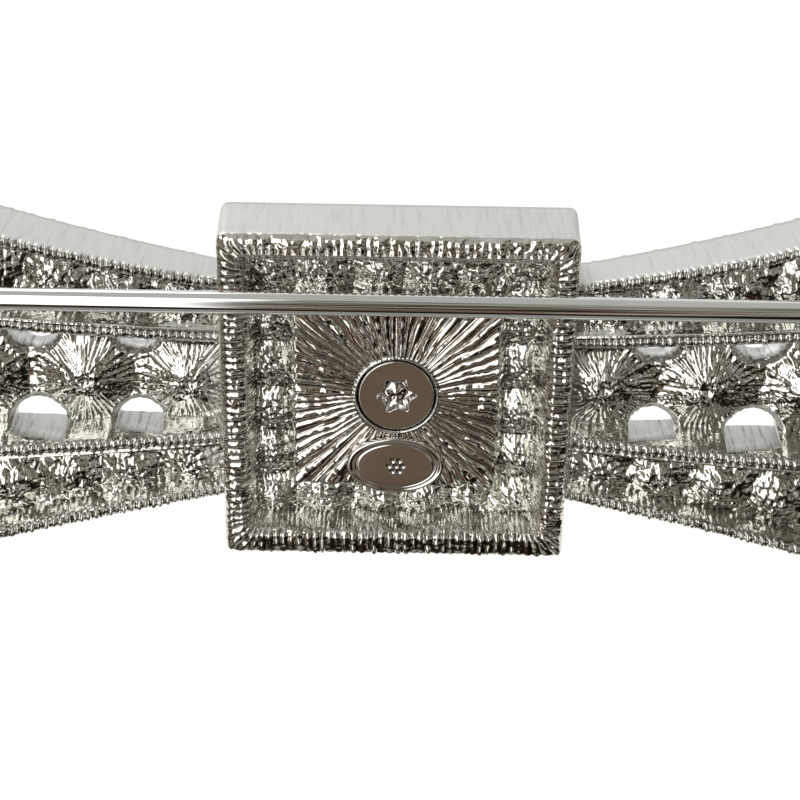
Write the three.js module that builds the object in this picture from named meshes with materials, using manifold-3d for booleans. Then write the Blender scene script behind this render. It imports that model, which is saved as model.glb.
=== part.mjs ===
// A crystal-set bow brooch: a square knot box, two flared wings, and a hinged pin with a safety catch.
// Units are millimetres. X runs across the bow, +Y points out of its back and +Z is up, as it is worn.
// Every shape is drawn with Y = 0 on the knot's back rim and Z = 0 at the knot's middle. The last
// group then moves the whole brooch so that the origin lies on the pin's centreline.
import * as THREE from 'three';
import { mergeVertices } from 'three/addons/utils/BufferGeometryUtils.js';
import Module from 'manifold-3d';

const wasm = await Module();
wasm.setup();

// Knot box
const KNOT_WIDTH = 19.2;
const KNOT_HEIGHT = 19.4;
const KNOT_DEPTH = 4.7;
const KNOT_CORNER = 0.5;
const KNOT_FLARE = 0.14;
const RIM_WIDTH = 1.4;
const PLATEAU_HALF = 5.62;
const PLATEAU_Y = -1.0;
const MOAT_Y = -2.3;
const RING_HALF = 6.93;
const RING_STONES_PER_SIDE = 5;
const RING_STONE_RADIUS = 1.3;
const RING_CHANNEL_Y = -3.1;
const RING_CHANNEL_HALF_WIDTH = 1.45;
const RING_BAR_HALF = 0.5;
const MOAT_OVERLAP = 0.2;

// Screw, plate and centre ornament
const SCREW_HEAD_RADIUS = 2.1;
const SCREW_HEAD_THICKNESS = 0.85;
const SCREW_SHANK_RADIUS = 0.75;
const SCREW_TIP_Y = -4.5;
const SCREW_GAP = 0.1;
const LOBE_RADIUS = 0.86;
const LOBE_DEPTH = 0.5;
const LOBE_SWELL = 0.13;
const PLATE_HALF_WIDTH = 2.66;
const PLATE_HALF_HEIGHT = 1.7;
const PLATE_THICKNESS = 0.4;
const PLATE_Z = -4.2;
const PLATE_GAP = 0.05;
const SHANK_GAP = 0.12;
const COLLET_GAP = 0.1;
const COLLET_HALF = 5.1;
const COLLET_BACK_Y = -3.1;
const COLLET_FLOOR_Y = -4.9;
const COLLET_FRONT_Y = -6.7;
const COLLET_WALL = 0.6;
const CENTRE_TABLE_HALF = 2.7;
const CENTRE_GIRDLE_Y = -6.3;
const CENTRE_TABLE_Y = -7.9;
const CENTRE_CULET_HALF = 1.6;
const CENTRE_GAP = 0.15;

// Wings. U is the distance from the knot's middle plane, along X.
const WING_START = 9.84;
const CURVE_START = 10;
const HEIGHT_START = 6.75;
const HEIGHT_SLOPE = 0.168;
const HEIGHT_CURVE = 0.0045;
const HEIGHT_EASE = 0.0006;
const HEIGHT_EASE_START = 14;
const MIDDLE_HEIGHT = 2.81;
const MIDDLE_SLOPE = 0.07;
const BACK_START = -1.1;
const BACK_RISE = 0.68;
const BACK_REACH = 6;
const BACK_BEND = 0.0012;
const BACK_BEND_START = 12;
const FRONT_START = -4.05;
const FRONT_DROP = 1.1;
const FRONT_REACH = 13;
const WING_CORNER = 38.4;
const WING_END_BULGE = 1.6;
const OUTER_RAIL = 0.6;
const INNER_RAIL = 0.75;
const END_WALL = 0.7;
const MIDDLE_END = 32.6;
const WING_THICKNESS = 2.45;
const WING_FLOOR = 1.4;
const INNER_RAIL_DROP = 0.22;
const DOME_FIRST = 11.6;
const DOME_PITCH = 5.75;
const DOME_COUNT = 4;
const ARCH_HALF_WIDTHS = [1.35, 1.6, 1.7, 1.8];
const ARCH_TOP = 1.2;
const ARCH_MARGIN = 0.15;
const EDGE_STEPS = 12;

// Stones
const STONE_SIDES = 10;
const STONE_PAVILION = 0.8;
const STONE_CROWN = 0.42;
const STONE_GIRDLE = 0.08;
const STONE_TABLE = 0.56;
const STONE_STAND = 0.3;
const SEAT_GAP = 0.14;
const LARGE_FIRST_RADIUS = 1.9;
const LARGE_RADIUS = 2.5;
const LARGE_PAVILION = 0.66;
const BAND_FIRST = 11.6;
const BAND_COUNT = 6;
const BAND_PITCH = 3.3;
const BAND_PITCH_SLOPE = 0.04;
const BAND_PITCH_CURVE = 0.0009;
const BAND_RADIUS_SHARE = 0.38;
const BAND_PITCH_SHARE = 0.46;
const END_RADIUS = 2.0;
const END_PLACES = [[35.2, 9.0], [36.3, 4.55], [36.6, 0], [36.3, -4.55], [35.2, -9.0]];

// Pin, hinge and catch
const PIN_Y = 2.0;
const PIN_Z = 6.8;
const PIN_RADIUS = 0.6;
const PIN_TIP_X = 37.4;
const PIN_TAPER = 9.0;
const PIN_TIP_RADIUS = 0.06;
const FINDING_X = 33;
const PAD_HALF_LENGTH = 2.7;
const PAD_BOTTOM = 5.0;
const PAD_TOP = 8.7;
const PAD_DROP = 0.168;
const PAD_ROOT = 0.2;
const BASE_Y = -0.78;
const BASE_THICKNESS = 0.7;
const BASE_HALF_LENGTH = 2.5;
const BASE_HALF_WIDTH = 1.75;
const BASE_ROOT = 0.2;
const EYE_RADIUS = 1.25;
const EYE_HALF_WIDTH = 0.68;
const EYE_BORE = 0.5;
const EAR_INNER = 0.76;
const EAR_OUTER = 1.56;
const EAR_RADIUS = 1.4;
const RIVET_RADIUS = 0.42;
const RIVET_HEAD_RADIUS = 0.78;
const RIVET_HEAD_INNER = 1.63;
const RIVET_HEAD_OUTER = 1.98;
const BARREL_RADIUS = 1.95;
const BARREL_BORE = 1.34;
const BARREL_START = 31.9;
const BARREL_END = 34.7;
const BARREL_NECK_HALF = 1.3;
const SLOT_HALF = 0.78;
const ROTOR_RADIUS = 1.26;
const ROTOR_BORE = 0.76;
const ROTOR_GAP = 0.1;
const COLLAR_RADIUS = 1.85;
const COLLAR_LENGTH = 1.2;
const FLANGE_RADIUS = 1.55;
const FLANGE_LENGTH = 0.4;
const TAB_REACH = 3.7;
const TAB_HALF_THICKNESS = 0.4;

const ROUND_SIDES = 24;
const OVERCUT = 1;

// Outer half-height of a wing at U.
function wingHalfHeight(u) {
  const t = u - CURVE_START;
  const ease = Math.max(0, t - HEIGHT_EASE_START);
  return HEIGHT_START + HEIGHT_SLOPE * t + HEIGHT_CURVE * t * t - HEIGHT_EASE * ease ** 3;
}

// Half-height of a wing's middle band at U.
function middleHalfHeight(u) {
  return MIDDLE_HEIGHT + MIDDLE_SLOPE * (u - CURVE_START);
}

function wingBackY(u) {
  const t = u - CURVE_START;
  const bend = Math.max(0, t - BACK_BEND_START);
  return BACK_START + BACK_RISE * (1 - Math.exp(-t / BACK_REACH)) - BACK_BEND * bend * bend;
}

function wingFrontY(u) {
  return FRONT_START - FRONT_DROP * (1 - Math.exp(-(u - CURVE_START) / FRONT_REACH));
}

// How much thicker the wing is at U than at the knot.
function wingStretch(u) {
  return (wingBackY(u) - wingFrontY(u)) / WING_THICKNESS;
}

function wingEnd(z) {
  const across = z / wingHalfHeight(WING_CORNER);
  return WING_CORNER + WING_END_BULGE * (1 - across * across);
}

function steps(low, high, count) {
  return Array.from({ length: count + 1 }, (_, i) => low + ((high - low) * i) / count);
}

// A three.js geometry as a solid that can be joined and cut.
function solidOf(geometry) {
  const bare = geometry.clone();
  bare.deleteAttribute('normal');
  bare.deleteAttribute('uv');
  const merged = mergeVertices(bare, 1e-4);
  const index = merged.index.array;
  const triangles = [];
  for (let i = 0; i < index.length; i += 3) {
    const [a, b, c] = [index[i], index[i + 1], index[i + 2]];
    if (a !== b && b !== c && c !== a) triangles.push(a, b, c);
  }
  return new wasm.Manifold(new wasm.Mesh({
    numProp: 3,
    vertProperties: new Float32Array(merged.attributes.position.array),
    triVerts: new Uint32Array(triangles),
  }));
}

function geometryOf(solid) {
  const { vertProperties, triVerts } = solid.getMesh();
  const geometry = new THREE.BufferGeometry();
  geometry.setAttribute('position', new THREE.BufferAttribute(new Float32Array(vertProperties), 3));
  geometry.setIndex(new THREE.BufferAttribute(new Uint32Array(triVerts), 1));
  return geometry;
}

function namedMesh(name, solid, material) {
  const geometry = geometryOf(solid).toNonIndexed();
  geometry.computeVertexNormals();
  const mesh = new THREE.Mesh(geometry, material.clone());
  mesh.name = name;
  return mesh;
}

// A flat outline of [x, z] points, made solid between two values of Y.
function prismY(outline, lowY, highY) {
  const shape = new THREE.Shape(outline.map(([x, z]) => new THREE.Vector2(x, z)));
  const geometry = new THREE.ExtrudeGeometry(shape, { depth: highY - lowY, bevelEnabled: false });
  geometry.rotateX(Math.PI / 2);
  geometry.translate(0, highY, 0);
  return solidOf(geometry);
}

function block(low, high) {
  const size = high.map((value, i) => value - low[i]);
  const geometry = new THREE.BoxGeometry(...size);
  geometry.translate(...low.map((value, i) => value + size[i] / 2));
  return solidOf(geometry);
}

// A round bar along X, Y or Z. At is its axis's place on the other two axes.
function bar(axis, radius, low, high, at, sides = ROUND_SIDES) {
  const geometry = new THREE.CylinderGeometry(radius, radius, high - low, sides);
  if (axis === 'x') geometry.rotateZ(-Math.PI / 2);
  if (axis === 'z') geometry.rotateX(Math.PI / 2);
  const middle = (low + high) / 2;
  const place = { x: [middle, ...at], y: [at[0], middle, at[1]], z: [...at, middle] }[axis];
  geometry.translate(...place);
  return solidOf(geometry);
}

function roundedRectangle(halfWidth, halfHeight, radius, cornerSteps = 4) {
  const outline = [];
  for (const [quarter, sx, sz] of [[0, 1, 1], [1, -1, 1], [2, -1, -1], [3, 1, -1]]) {
    for (const turn of steps(0, Math.PI / 2, cornerSteps)) {
      const angle = quarter * (Math.PI / 2) + turn;
      const x = sx * (halfWidth - radius) + radius * Math.cos(angle);
      const z = sz * (halfHeight - radius) + radius * Math.sin(angle);
      outline.push([x, z]);
    }
  }
  return outline;
}

function squareOutline(half) {
  return [[half, half], [-half, half], [-half, -half], [half, -half]];
}

// A stone with its culet at Y = 0 and its table towards -Y.
function stoneSolid(radius, pavilion) {
  const girdle = pavilion + STONE_GIRDLE * radius;
  const table = girdle + STONE_CROWN * radius;
  const profile = [[0, 0], [radius, pavilion], [radius, girdle], [STONE_TABLE * radius, table], [0, table]];
  const points = profile.map(([r, y]) => new THREE.Vector2(r, y));
  const geometry = new THREE.LatheGeometry(points, STONE_SIDES);
  geometry.rotateX(Math.PI);
  return solidOf(geometry);
}

// Where each stone of a wing sits: distance U along the wing, height Z, radius and pavilion depth.
function wingStones() {
  const stones = [];
  for (let i = 0; i < DOME_COUNT; i += 1) {
    const radius = i === 0 ? LARGE_FIRST_RADIUS : LARGE_RADIUS;
    stones.push({ name: `large_crystal_${i + 1}`, u: DOME_FIRST + i * DOME_PITCH, z: 0, radius,
      pavilion: LARGE_PAVILION * radius });
  }
  let u = BAND_FIRST;
  for (let i = 0; i < BAND_COUNT; i += 1) {
    const t = u - CURVE_START;
    const pitch = BAND_PITCH + BAND_PITCH_SLOPE * t + BAND_PITCH_CURVE * t * t;
    const z = (middleHalfHeight(u) + INNER_RAIL + wingHalfHeight(u) - OUTER_RAIL) / 2;
    const bandHeight = wingHalfHeight(u) - middleHalfHeight(u);
    const radius = Math.min(BAND_RADIUS_SHARE * bandHeight, BAND_PITCH_SHARE * pitch);
    for (const [side, sign] of [['upper', 1], ['lower', -1]]) {
      stones.push({ name: `${side}_band_crystal_${i + 1}`, u, z: sign * z, radius,
        pavilion: STONE_PAVILION * radius });
    }
    u += pitch;
  }
  END_PLACES.forEach(([endU, z], i) => {
    stones.push({ name: `end_crystal_${i + 1}`, u: endU, z, radius: END_RADIUS,
      pavilion: STONE_PAVILION * END_RADIUS });
  });
  return stones;
}

// Outline of a wing pulled in by inset, and by startInset at its knot end.
function wingOutline(inset, startInset) {
  const corner = WING_CORNER - inset;
  const top = steps(WING_START + startInset, corner, EDGE_STEPS).map((u) => [u, wingHalfHeight(u) - inset]);
  const cornerZ = wingHalfHeight(corner) - inset;
  const end = steps(cornerZ, -cornerZ, EDGE_STEPS).slice(1, -1).map((z) => [wingEnd(z) - inset, z]);
  const bottom = top.map(([u, z]) => [u, -z]).reverse();
  return [...top, ...end, ...bottom].reverse();
}

function middleOutline(outset, startU) {
  const top = steps(startU, MIDDLE_END + outset, EDGE_STEPS).map((u) => [u, middleHalfHeight(u) + outset]);
  const bottom = top.map(([u, z]) => [u, -z]).reverse();
  return [...top, ...bottom].reverse();
}

// An arched opening between two domes, with its flat side on the rail.
function archOutline(place, sign) {
  const middleU = DOME_FIRST + (place + 0.5) * DOME_PITCH;
  const foot = middleHalfHeight(middleU) - ARCH_MARGIN;
  const outline = steps(0, Math.PI, 8).map((angle) => [
    middleU + ARCH_HALF_WIDTHS[place] * Math.cos(angle),
    sign * (foot - (foot - ARCH_TOP) * Math.sin(angle)),
  ]);
  return sign > 0 ? outline.reverse() : outline;
}

// A seat is a cone sunk in the wing's front face, drawn before the wing is bent to its thickness.
function seatSolid({ u, z, radius, pavilion }) {
  const depth = (pavilion - STONE_STAND * radius + SEAT_GAP) / wingStretch(u);
  const slope = (radius / pavilion) * wingStretch(u);
  const mouth = (depth + OVERCUT) * slope;
  const geometry = new THREE.ConeGeometry(mouth, depth + OVERCUT, STONE_SIDES);
  geometry.translate(u, (depth - OVERCUT) / 2, z);
  return solidOf(geometry);
}

// The wing is cut as a flat slab and then bent, so that its back and front follow their curves.
function bentWing(flat, sign) {
  const geometry = geometryOf(flat);
  const position = geometry.attributes.position;
  for (let i = 0; i < position.count; i += 1) {
    const u = position.getX(i);
    position.setX(i, sign * u);
    position.setY(i, wingFrontY(u) + position.getY(i) * wingStretch(u));
  }
  if (sign < 0) {
    const index = geometry.index;
    for (let i = 0; i < index.count; i += 3) {
      const first = index.getX(i);
      index.setX(i, index.getX(i + 1));
      index.setX(i + 1, first);
    }
  }
  return solidOf(geometry);
}

function wingSlab(stones) {
  let slab = prismY(wingOutline(0, 0), 0, WING_THICKNESS);
  const backY = WING_THICKNESS + OVERCUT;
  const outerChannel = prismY(wingOutline(OUTER_RAIL, END_WALL), WING_FLOOR, backY)
    .subtract(prismY(middleOutline(INNER_RAIL, WING_START), WING_FLOOR - OVERCUT, backY + OVERCUT));
  const middleRecess = prismY(middleOutline(0, WING_START + END_WALL), WING_FLOOR, backY);
  const railTop = WING_THICKNESS - INNER_RAIL_DROP;
  const aboveRails = prismY(middleOutline(INNER_RAIL, WING_START), railTop, backY);
  slab = slab.subtract(outerChannel).subtract(middleRecess).subtract(aboveRails);
  const padLow = [FINDING_X - PAD_HALF_LENGTH, WING_FLOOR - PAD_ROOT, PAD_BOTTOM];
  const padHigh = [FINDING_X + PAD_HALF_LENGTH, WING_THICKNESS - PAD_DROP, PAD_TOP];
  slab = slab.add(block(padLow, padHigh));
  for (let i = 0; i < DOME_COUNT; i += 1) {
    for (const sign of [1, -1]) {
      slab = slab.subtract(prismY(archOutline(i, sign), -OVERCUT, backY));
    }
  }
  for (const stone of stones) {
    slab = slab.subtract(seatSolid(stone));
  }
  return slab;
}

function knotBox() {
  const outline = roundedRectangle(KNOT_WIDTH / 2, KNOT_HEIGHT / 2, KNOT_CORNER);
  const flared = geometryOf(prismY(outline, -KNOT_DEPTH, 0));
  const position = flared.attributes.position;
  for (let i = 0; i < position.count; i += 1) {
    if (position.getY(i) < -KNOT_DEPTH / 2) {
      position.setX(i, position.getX(i) * (1 + (2 * KNOT_FLARE) / KNOT_WIDTH));
      position.setZ(i, position.getZ(i) * (1 + (2 * KNOT_FLARE) / KNOT_HEIGHT));
    }
  }
  const innerHalf = KNOT_WIDTH / 2 - RIM_WIDTH;
  const inner = squareOutline(innerHalf);
  const moat = prismY(inner, MOAT_Y, PLATEAU_Y + MOAT_OVERLAP)
    .subtract(prismY(squareOutline(PLATEAU_HALF), MOAT_Y - OVERCUT, OVERCUT));
  const outerRing = squareOutline(RING_HALF + RING_CHANNEL_HALF_WIDTH);
  const innerRing = squareOutline(RING_HALF - RING_CHANNEL_HALF_WIDTH);
  const frontY = -KNOT_DEPTH - OVERCUT;
  const wellY = PLATEAU_Y - SCREW_HEAD_THICKNESS - SCREW_GAP;
  const ringChannel = prismY(outerRing, frontY, RING_CHANNEL_Y)
    .subtract(prismY(innerRing, frontY - OVERCUT, RING_CHANNEL_Y + OVERCUT));
  return solidOf(flared)
    .subtract(prismY(inner, PLATEAU_Y, OVERCUT))
    .subtract(moat)
    .subtract(ringChannel)
    .subtract(prismY(squareOutline(COLLET_HALF + COLLET_GAP), frontY, COLLET_BACK_Y + COLLET_GAP))
    .subtract(bar('y', SCREW_HEAD_RADIUS + SCREW_GAP, wellY, 0, [0, 0]))
    .subtract(bar('y', SCREW_SHANK_RADIUS + SHANK_GAP, frontY, 0, [0, 0]));
}

function makerPlate() {
  const outline = steps(0, 2 * Math.PI, 28).slice(0, -1).map((angle) => [
    PLATE_HALF_WIDTH * Math.cos(angle),
    PLATE_Z + PLATE_HALF_HEIGHT * Math.sin(angle),
  ]);
  return prismY(outline, PLATEAU_Y + PLATE_GAP, PLATEAU_Y + PLATE_GAP + PLATE_THICKNESS);
}

function clampScrew() {
  const lobes = steps(0, 2 * Math.PI, 30).slice(0, -1).map((angle) => {
    const radius = LOBE_RADIUS + LOBE_SWELL * Math.cos(6 * angle);
    return [radius * Math.cos(angle), radius * Math.sin(angle)];
  });
  return bar('y', SCREW_HEAD_RADIUS, PLATEAU_Y - SCREW_HEAD_THICKNESS, PLATEAU_Y, [0, 0])
    .add(bar('y', SCREW_SHANK_RADIUS, SCREW_TIP_Y, PLATEAU_Y - 0.1, [0, 0]))
    .subtract(prismY(lobes, PLATEAU_Y - LOBE_DEPTH, PLATEAU_Y + OVERCUT));
}

function centreCollet() {
  const cup = prismY(squareOutline(COLLET_HALF), COLLET_FRONT_Y, COLLET_BACK_Y);
  const pocket = prismY(squareOutline(COLLET_HALF - COLLET_WALL), COLLET_FRONT_Y - OVERCUT, COLLET_FLOOR_Y);
  const tapped = bar('y', SCREW_SHANK_RADIUS + SHANK_GAP, SCREW_TIP_Y - SHANK_GAP,
    COLLET_BACK_Y + OVERCUT, [0, 0]);
  return cup.subtract(pocket).subtract(tapped);
}

// A square stone: a small culet, a straight girdle and a flat table, joined by sloping steps.
function centreCrystal() {
  const girdleHalf = COLLET_HALF - COLLET_WALL - CENTRE_GAP;
  const levels = [
    [COLLET_FLOOR_Y - 0.1, CENTRE_CULET_HALF],
    [CENTRE_GIRDLE_Y + 0.2, girdleHalf],
    [CENTRE_GIRDLE_Y - 0.1, girdleHalf],
    [CENTRE_TABLE_Y, CENTRE_TABLE_HALF],
  ];
  const corners = levels.map(([y, half]) => [half * Math.SQRT2, y]);
  const profile = [[0, levels[0][0]], ...corners, [0, CENTRE_TABLE_Y]];
  const points = profile.map(([r, y]) => new THREE.Vector2(r, -y));
  const geometry = new THREE.LatheGeometry(points, 4, Math.PI / 4);
  geometry.rotateX(Math.PI);
  return solidOf(geometry);
}

// One side of the knot's border of stones, on a bar that joins them. It runs from one corner stone
// to the last stone before the next corner, and a quarter turn of it makes the next side.
function ringSide(quarter) {
  const pitch = (2 * RING_HALF) / RING_STONES_PER_SIDE;
  const culetY = RING_CHANNEL_Y - 0.15;
  const pavilion = STONE_PAVILION * RING_STONE_RADIUS;
  const girdleY = culetY - pavilion;
  const start = -RING_HALF;
  const end = start + (RING_STONES_PER_SIDE - 1) * pitch;
  let side = block([start, girdleY - 0.1, RING_HALF - RING_BAR_HALF],
    [end, girdleY + 0.35, RING_HALF + RING_BAR_HALF]);
  for (let i = 0; i < RING_STONES_PER_SIDE; i += 1) {
    const stone = geometryOf(stoneSolid(RING_STONE_RADIUS, pavilion));
    stone.translate(start + i * pitch, culetY, RING_HALF);
    side = side.add(solidOf(stone));
  }
  const turned = geometryOf(side);
  turned.rotateY(quarter * (Math.PI / 2));
  return solidOf(turned);
}

function findingBase(sign) {
  const x = sign * FINDING_X;
  return block([x - BASE_HALF_LENGTH, BASE_Y, PIN_Z - BASE_HALF_WIDTH],
    [x + BASE_HALF_LENGTH, BASE_Y + BASE_THICKNESS, PIN_Z + BASE_HALF_WIDTH]);
}

function hingeBase() {
  let base = findingBase(-1);
  for (const sign of [1, -1]) {
    const [low, high] = [PIN_Z + sign * EAR_INNER, PIN_Z + sign * EAR_OUTER].sort((a, b) => a - b);
    const cheek = block([-FINDING_X - EAR_RADIUS, BASE_Y + BASE_ROOT, low],
      [-FINDING_X + EAR_RADIUS, PIN_Y, high]);
    base = base.add(cheek).add(bar('z', EAR_RADIUS, low, high, [-FINDING_X, PIN_Y]));
  }
  return base.subtract(bar('z', EYE_BORE, PIN_Z - 3, PIN_Z + 3, [-FINDING_X, PIN_Y]));
}

function hingeRivet() {
  const at = [-FINDING_X, PIN_Y];
  return bar('z', RIVET_RADIUS, PIN_Z - RIVET_HEAD_OUTER + 0.1, PIN_Z + RIVET_HEAD_OUTER - 0.1, at)
    .add(bar('z', RIVET_HEAD_RADIUS, PIN_Z + RIVET_HEAD_INNER, PIN_Z + RIVET_HEAD_OUTER, at))
    .add(bar('z', RIVET_HEAD_RADIUS, PIN_Z - RIVET_HEAD_OUTER, PIN_Z - RIVET_HEAD_INNER, at));
}

// The stem is turned from its eye to its point, then joined to the eye that turns on the rivet.
function pinStem() {
  const start = -FINDING_X + EYE_RADIUS - 0.35;
  const profile = [[0, start], [PIN_RADIUS, start], [PIN_RADIUS, PIN_TIP_X - PIN_TAPER],
    [PIN_TIP_RADIUS, PIN_TIP_X - 0.1], [0, PIN_TIP_X]];
  const wire = new THREE.LatheGeometry(profile.map(([r, x]) => new THREE.Vector2(r, x)), 16);
  wire.rotateZ(-Math.PI / 2);
  wire.translate(0, PIN_Y, PIN_Z);
  const at = [-FINDING_X, PIN_Y];
  return solidOf(wire)
    .add(bar('z', EYE_RADIUS, PIN_Z - EYE_HALF_WIDTH, PIN_Z + EYE_HALF_WIDTH, at))
    .subtract(bar('z', EYE_BORE, PIN_Z - 3, PIN_Z + 3, at));
}

function catchBase() {
  const at = [PIN_Y, PIN_Z];
  const neck = block([BARREL_START, BASE_Y + BASE_ROOT, PIN_Z - BARREL_NECK_HALF],
    [BARREL_END, PIN_Y, PIN_Z + BARREL_NECK_HALF]);
  const mouth = block([BARREL_START - OVERCUT, PIN_Y, PIN_Z - SLOT_HALF],
    [BARREL_END + OVERCUT, PIN_Y + 2 * BARREL_RADIUS, PIN_Z + SLOT_HALF]);
  return findingBase(1)
    .add(neck)
    .add(bar('x', BARREL_RADIUS, BARREL_START, BARREL_END, at))
    .subtract(bar('x', BARREL_BORE, BARREL_START - OVERCUT, BARREL_END + OVERCUT, at))
    .subtract(mouth);
}

// The sleeve that turns in the catch's barrel. Its slot faces +Y when the catch is open.
function catchRotor() {
  const at = [PIN_Y, PIN_Z];
  const collarStart = BARREL_START - ROTOR_GAP - COLLAR_LENGTH;
  const flangeEnd = BARREL_END + ROTOR_GAP + FLANGE_LENGTH;
  const tab = block([collarStart, PIN_Y - TAB_HALF_THICKNESS, PIN_Z + ROTOR_BORE + 0.3],
    [collarStart + COLLAR_LENGTH, PIN_Y + TAB_HALF_THICKNESS, PIN_Z + TAB_REACH]);
  const slot = block([collarStart - OVERCUT, PIN_Y, PIN_Z - SLOT_HALF],
    [flangeEnd + OVERCUT, PIN_Y + 2 * COLLAR_RADIUS, PIN_Z + SLOT_HALF]);
  return bar('x', ROTOR_RADIUS, collarStart, flangeEnd, at)
    .add(bar('x', COLLAR_RADIUS, collarStart, collarStart + COLLAR_LENGTH, at))
    .add(bar('x', FLANGE_RADIUS, flangeEnd - FLANGE_LENGTH, flangeEnd, at))
    .add(tab)
    .subtract(bar('x', ROTOR_BORE, collarStart - OVERCUT, flangeEnd + OVERCUT, at))
    .subtract(slot);
}

const castMetal = new THREE.MeshStandardMaterial({ color: 0xc9c9c4, roughness: 0.38, metalness: 1 });
const polishedMetal = new THREE.MeshStandardMaterial({ color: 0xdcdcda, roughness: 0.12, metalness: 1 });
const plateMetal = new THREE.MeshStandardMaterial({ color: 0xb8b2ae, roughness: 0.2, metalness: 1 });
const clearCrystal = new THREE.MeshStandardMaterial({ color: 0xf2f6fa, roughness: 0.03, metalness: 0 });

const brooch = new THREE.Group();
brooch.position.set(0, -PIN_Y, -PIN_Z);

brooch.add(namedMesh('knot_box', knotBox(), castMetal));
brooch.add(namedMesh('maker_plate', makerPlate(), plateMetal));
brooch.add(namedMesh('clamp_screw', clampScrew(), polishedMetal));
brooch.add(namedMesh('centre_collet', centreCollet(), castMetal));
brooch.add(namedMesh('centre_crystal', centreCrystal(), clearCrystal));
['top', 'right', 'bottom', 'left'].forEach((side, quarter) => {
  brooch.add(namedMesh(`ring_crystals_${side}`, ringSide(quarter), clearCrystal));
});

const stones = wingStones();
const slab = wingSlab(stones);
for (const [side, sign] of [['hinge_side', -1], ['catch_side', 1]]) {
  brooch.add(namedMesh(`wing_${side}`, bentWing(slab, sign), castMetal));
  for (const { name, u, z, radius, pavilion } of stones) {
    const stone = namedMesh(`${side}_${name}`, stoneSolid(radius, pavilion), clearCrystal);
    stone.position.set(sign * u, wingFrontY(u) + pavilion - STONE_STAND * radius, z);
    brooch.add(stone);
  }
}

brooch.add(namedMesh('hinge_base', hingeBase(), polishedMetal));
brooch.add(namedMesh('hinge_rivet', hingeRivet(), polishedMetal));
brooch.add(namedMesh('pin_stem', pinStem(), polishedMetal));
brooch.add(namedMesh('catch_base', catchBase(), polishedMetal));
brooch.add(namedMesh('catch_rotor', catchRotor(), polishedMetal));

const model = new THREE.Group();
model.add(brooch);

export default model;
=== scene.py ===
"""The looks of a crystal-set bow brooch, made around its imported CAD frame.

Shapes are drawn in millimetres from the middle of the knot's back rim: x across the bow, +y out of the
back and +z up. A piece is put in the frame, in metres, when it is made.
"""
import math

import bmesh
import bpy
import numpy as np
from mathutils import Matrix, Vector


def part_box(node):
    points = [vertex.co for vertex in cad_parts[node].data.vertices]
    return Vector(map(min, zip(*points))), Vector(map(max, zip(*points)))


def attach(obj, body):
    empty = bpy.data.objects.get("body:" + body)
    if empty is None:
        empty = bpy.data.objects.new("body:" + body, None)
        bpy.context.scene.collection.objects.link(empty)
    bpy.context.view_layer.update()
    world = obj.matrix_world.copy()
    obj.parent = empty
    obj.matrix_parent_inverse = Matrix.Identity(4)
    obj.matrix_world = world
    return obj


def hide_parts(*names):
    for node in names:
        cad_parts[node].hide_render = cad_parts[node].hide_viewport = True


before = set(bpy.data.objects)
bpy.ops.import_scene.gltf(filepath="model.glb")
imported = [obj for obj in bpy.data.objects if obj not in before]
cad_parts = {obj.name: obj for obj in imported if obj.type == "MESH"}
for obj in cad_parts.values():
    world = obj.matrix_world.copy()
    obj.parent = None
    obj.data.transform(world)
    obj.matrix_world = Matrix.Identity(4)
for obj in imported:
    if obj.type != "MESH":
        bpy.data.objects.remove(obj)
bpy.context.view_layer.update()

MM = 0.001
KNOT_LOW, KNOT_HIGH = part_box("knot_box")
ORIGIN = np.array([(KNOT_LOW[0] + KNOT_HIGH[0]) / 2, KNOT_HIGH[1], (KNOT_LOW[2] + KNOT_HIGH[2]) / 2])

# Knot, in millimetres
KNOT_HALF = 9.6
KNOT_HALF_TALL = 9.7
KNOT_DEPTH = 4.7
KNOT_CORNER = 0.5
KNOT_FLARE = 0.14
RIM_INNER = 8.2
PLATEAU_HALF = 5.62
PLATEAU_Y = -1.0
MOAT_Y = -2.3
RING_HALF = 6.93
RING_PITCH = 2 * RING_HALF / 5
SCREW_RADIUS = 2.1
WELL_DEPTH = 0.95
RING_STONE = 1.3
RING_CULET_Y = -3.25
PLATE_HALF_WIDTH = 2.72
PLATE_HALF_HEIGHT = 1.7
PLATE_Z = -4.2
DOT_RING = 0.38
DOT_RADIUS = 0.13

# Wings, in millimetres. U is the distance from the knot's middle plane.
WING_START = 9.56
WING_START_HALF = 6.748
WING_CORNER = 38.4
WING_END_BULGE = 1.6
OUTER_RAIL = 0.6
INNER_RAIL = 0.75
MIDDLE_END = 32.6
DOME_FIRST = 11.6
DOME_PITCH = 5.75
DOME_COUNT = 4
DOME_TIP_Y = -2.15
ARCH_HALF_WIDTHS = (1.35, 1.6, 1.7, 1.8)
ARCH_TOPS = (1.6, 1.5)
ARCH_MARGIN = 0.15
FLOOR_DEPTH = 1.05
INNER_RAIL_DROP = 0.28
WING_THICKNESS = 2.45
GIRDLE_RISE = 0.3

# Pin and findings, in millimetres
PIN_Y = 2.0
PIN_Z = 6.8
PIN_RADIUS = 0.6
PIN_TIP = 37.4
PIN_TAPER = 9
EYE_RADIUS = 1.25
EAR_RADIUS = 1.4
RIVET_BORE = 0.5
CATCH_START = 31.9
CATCH_END = 34.7
BARREL_RADIUS = 1.93
BARREL_BORE = 1.34
ROTOR_BORE = 0.76
MOUTH_HALF = 0.78
FINDING_X = 33.0
PAD_LOW = 5.0
PAD_HIGH = 8.7
PAD_Y = -0.86


# -------------------------------- patterns on a surface

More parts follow.
